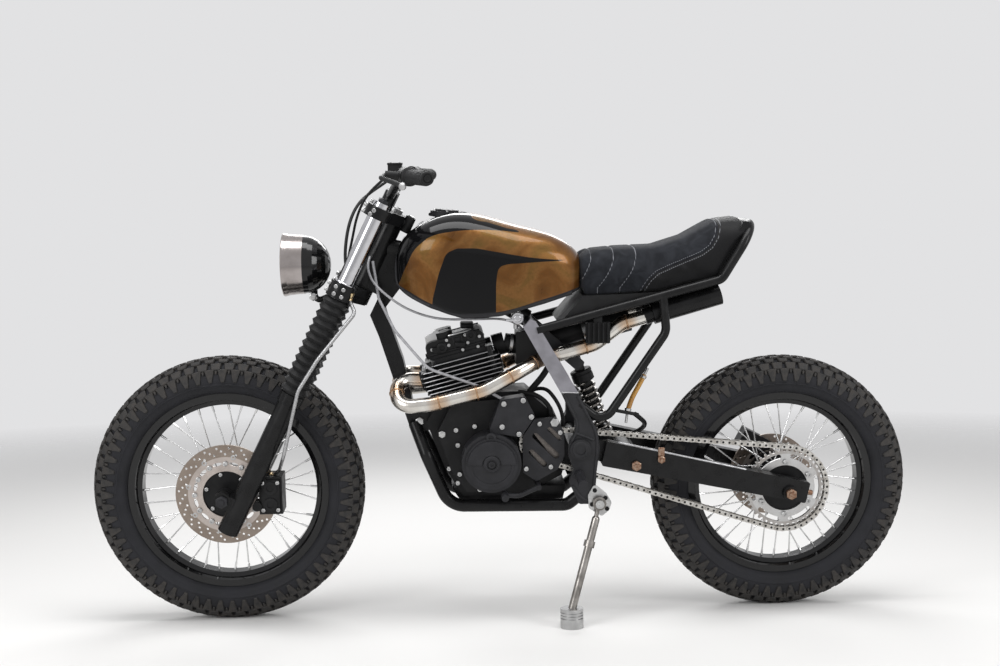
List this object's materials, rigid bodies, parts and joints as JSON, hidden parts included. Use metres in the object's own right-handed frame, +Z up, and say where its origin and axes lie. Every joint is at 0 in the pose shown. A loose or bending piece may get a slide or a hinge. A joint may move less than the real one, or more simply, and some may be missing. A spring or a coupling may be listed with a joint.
{
  "type": "scrambler motorcycle",
  "caption": "Stripped scrambler motorcycle with wire wheels, block-tread tyres, slim tank, kicked-up seat and looped exhaust, leaning on its side stand.",
  "frame": {"origin": "on the floor under the middle of the wheelbase, on the line where the upright wheels' plane meets the floor", "axes": "+X forward, +Y to the rider's left, +Z up; the machine leans to +Y on its side stand"},
  "size_m": [2.1074, 0.7851, 1.1995],
  "materials": {
    "frame_black": "satin black paint",
    "plate_grey": "satin grey paint",
    "engine_black": "matt black paint",
    "cover_black": "charcoal paint",
    "bright_steel": "brushed stainless steel",
    "chrome": "polished chrome",
    "chain_steel": "oiled steel with some rust",
    "alloy": "machined aluminium",
    "disc_steel": "worn brake steel",
    "rim_black": "gloss black paint",
    "spoke_steel": "bright steel",
    "tyre": "black rubber",
    "rubber": "black rubber",
    "tank_paint": "bronze and black gloss paint",
    "seat_cover": "dark suede and black leather",
    "plastic": "matt black plastic",
    "glass": "clear glass"
  },
  "bodies": {
    "chassis": {"frame_head": "frame_black", "frame_cradle": "frame_black", "frame_side_plates": "cover_black", "frame_side_struts": "plate_grey", "subframe_hoop": "frame_black", "subframe_struts": "frame_black", "swingarm": "frame_black", "chain": "chain_steel", "shock_absorber": "frame_black", "engine_crankcase": "engine_black", "engine_side_covers": "cover_black", "sprocket_cover": "cover_black", "engine_cylinder": "engine_black", "intake": "plastic", "exhaust_pipes": "bright_steel", "mufflers": "frame_black", "fuel_tank": "tank_paint", "petcock": "alloy", "seat": "seat_cover", "seat_pan": "plastic", "regulator": "engine_black", "foot_controls": "plate_grey", "rear_caliper": "engine_black", "stand_bracket": "alloy", "clutch_cable": "rubber"},
    "steering": {"fork_stanchions": "chrome", "fork_sliders": "frame_black", "fork_gaiters": "rubber", "lower_clamp": "frame_black", "top_clamp": "frame_black", "handlebar": "frame_black", "grips": "rubber", "bar_controls": "plastic", "lamp_shell": "rim_black", "lamp_bezel": "chrome", "lamp_lens": "glass", "front_caliper": "engine_black", "front_brake_hose": "rubber"},
    "front_wheel": {"front_tyre": "tyre", "front_rim": "rim_black", "front_hub": "engine_black", "front_spokes": "spoke_steel", "front_disc": "disc_steel"},
    "rear_wheel": {"rear_tyre": "tyre", "rear_rim": "rim_black", "rear_hub": "engine_black", "rear_spokes": "spoke_steel", "rear_disc": "disc_steel", "rear_sprocket": "alloy"},
    "side_stand": {"side_stand_leg": "bright_steel", "side_stand_foot": "alloy"},
    "fuel_cap": {"fuel_cap": "cover_black"}
  },
  "joints": [
    {"name": "steering_turn", "type": "hinge", "parent": "chassis", "child": "steering", "pos_m": [0.32778, 0.1351, 0.92606], "axis": [-0.4462, 0.1292, 0.8856], "range_deg": [-38, 38]},
    {"name": "front_wheel_spin", "type": "hinge", "parent": "steering", "child": "front_wheel", "pos_m": [0.7135, 0.04995, 0.34238], "axis": [0, 0.9895, -0.1444], "continuous": true},
    {"name": "rear_wheel_spin", "type": "hinge", "parent": "chassis", "child": "rear_wheel", "pos_m": [-0.7135, 0.04836, 0.33149], "axis": [0, 0.9895, -0.1444], "continuous": true},
    {"name": "side_stand_fold", "type": "hinge", "parent": "chassis", "child": "side_stand", "pos_m": [-0.226, 0.1771, 0.29957], "axis": [0, 0.9895, -0.1444], "range_deg": [0, 105]},
    {"name": "fuel_cap_lid", "type": "hinge", "parent": "chassis", "child": "fuel_cap", "pos_m": [0.18744, 0.15072, 1.03312], "axis": [0, 0.9895, -0.1444], "range_deg": [0, 95]}
  ]
}
